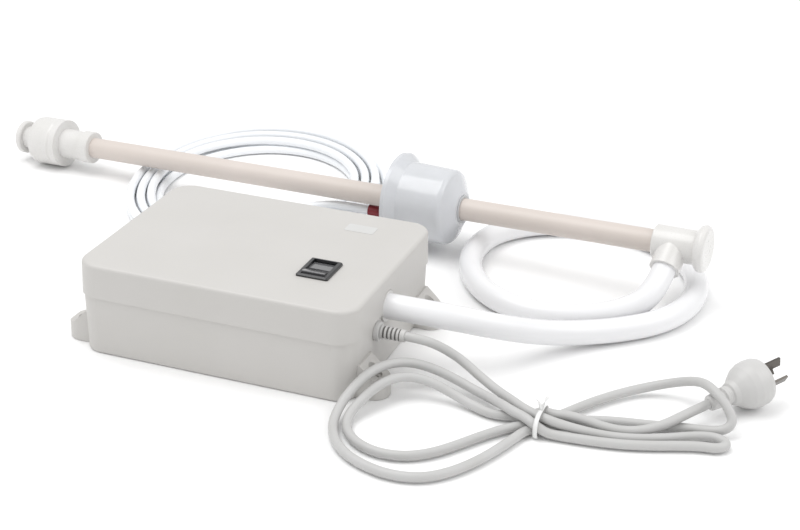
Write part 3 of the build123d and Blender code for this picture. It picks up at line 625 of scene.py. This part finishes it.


# ---------------------------------------------------------------- painted shade in the strain relief slots
@dataclass
class ReliefSlotPaintedShade:
    """Dark bands of painted shade, laid in the slots between the ribs of the cord's strain relief."""

    first: Point = (0.1172, -0.036, 0.0375)
    pitch: float = 3.1 * MM
    width: float = 1.1 * MM
    radius: float = 4.45 * MM
    thickness: float = 0.1 * MM
    count: int = 5
    segments: int = 40

    def build(self) -> bpy.types.Object:
        """Make one thin band of painted shade in the bottom of each slot.

        Returns:
            The finished mesh object.
        """
        mesh = bmesh.new()
        upright = Matrix.Rotation(math.radians(90), 4, "Y")
        for number in range(self.count):
            place = Matrix.Translation(Vector(self.first) + Vector((self.pitch * number, 0, 0)))
            bmesh.ops.create_circle(mesh, segments=self.segments, radius=self.radius, matrix=place @ upright)
            draw_out_ring(mesh, self.width)
        bmesh.ops.recalc_face_normals(mesh, faces=mesh.faces)
        bmesh.ops.solidify(mesh, geom=list(mesh.faces), thickness=self.thickness)
        return new_piece("relief_slot_painted_shade", mesh, smooth=True)

    def place(self) -> bpy.types.Object:
        """Build the slots' bands of painted shade, dress them and fix them to the case.

        Returns:
            The finished piece.
        """
        piece = self.build()
        PAINTED_SLOT_SHADE.dress(piece)
        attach(piece, "root")
        LOG.info("strain relief: %d slots", self.count)
        return piece


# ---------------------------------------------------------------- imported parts, by sub-assembly
class Case:
    """The two shells, their screws, the blank label and the rocker switch."""

    def dress(self) -> None:
        """Give each of the case's parts its finish."""
        CASE.dress_parts("base_shell", "lid_shell")
        LABEL.dress_parts("rating_plate")
        STEEL.dress_parts("case_screws")
        SWITCH_BLACK.dress_parts("switch_body")
        ROCKER_BLACK.dress_parts("switch_rocker")
        BRASS.dress_parts("switch_terminals")
        GLAND.dress_parts("strain_relief")
        FITTING.dress_parts("hose_inlet")


class Pump:
    """The motor, the diaphragm pump and the control board inside the case."""

    def dress(self) -> None:
        """Give each of the inner parts its finish."""
        STEEL.dress_parts("motor_can", "front_bearing", "rear_bearing", "rotor_shaft", "wobble_cam",
                          "pump_screws", "pump_bracket")
        INNER_BLACK.dress_parts("motor_end_bell", "pump_cam_housing", "pump_head", "pressure_switch",
                                "capacitors", "fuse_holder")
        COPPER.dress_parts("rotor_core", "transformer")
        BRASS.dress_parts("commutator")
        MAGNET.dress_parts("motor_magnets")
        RUBBER.dress_parts("diaphragm", "rubber_mounts", "outlet_link")
        FITTING.dress_parts("valve_plate", "outlet_elbow", "tube_collet")
        MILKY.dress_parts("internal_suction_tube")
        BOARD.dress_parts("control_board", "terminal_block")


class SuctionWand:
    """The wand tube with its foot valve, bottle cap and hose elbow."""

    def dress(self) -> None:
        """Give each of the wand's parts its finish."""
        WAND.dress_parts("wand_tube", "float_ring")
        FITTING.dress_parts("foot_strainer", "foot_body", "foot_sleeve", "hose_elbow", "elbow_flange")
        RUBBER.dress_parts("check_poppet")
        GREY_RUBBER.dress_parts("cap_grommet")
        CAP.dress_parts("bottle_cap")


class MainsPlug:
    """The moulded plug and its pins."""

    def dress(self) -> None:
        """Give the plug's parts their finish."""
        GLAND.dress_parts("plug_body")
        PINS.dress_parts("plug_pins")


class TubeEnd:
    """The dark red cap on the outlet tube's free end."""

    def dress(self) -> None:
        """Give the cap its finish."""
        RED.dress_parts("tube_end_cap")


def place_suction_hose() -> None:
    """Lay the thick hose from the case to the wand's elbow."""
    FlexibleLine("suction_hose_line", SUCTION_HOSE_ROUTE, diameter=19.6 * MM, length=0.859, finish=HOSE,
                 stands_for=("suction_hose",), far_end="object", stiffness="stiff", lay="loose",
                 steps=10).place()


def place_mains_cord() -> None:
    """Lay the folded mains cord with its tie and its plug."""
    tie = TwistTie().place()
    plug = [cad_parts["plug_body"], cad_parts["plug_pins"]]
    FlexibleLine("mains_cord_line", MAINS_CORD_ROUTE, diameter=7 * MM, length=1.628, finish=CORD,
                 stands_for=("power_cord", "power_cord_hank", "power_cord_end"), far_end="plug",
                 stiffness="medium", lay="coiled", with_parts=[*plug, tie]).place()


def place_outlet_tube() -> None:
    """Lay the thin outlet tube, through its coil, to its capped end."""
    route = OUTLET_LEAD + TubeCoil().route() + OUTLET_TAIL
    FlexibleLine("outlet_tube_line", route, diameter=8 * MM, length=5.255, finish=MILKY,
                 stands_for=("discharge_tube", "tube_coil", "tube_tail"), far_end="fitting",
                 stiffness="stiff", lay="coiled", with_parts=[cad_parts["tube_end_cap"]]).place()


def main() -> None:
    """Build the studio, the cords and the finishes in order."""
    Studio().build()
    place_suction_hose()
    place_mains_cord()
    place_outlet_tube()
    ReliefSlotPaintedShade().place()
    for assembly in (Case(), Pump(), SuctionWand(), MainsPlug(), TubeEnd()):
        assembly.dress()


if __name__ == "__main__":
    logging.basicConfig(level=logging.INFO, format="%(message)s")
    main()
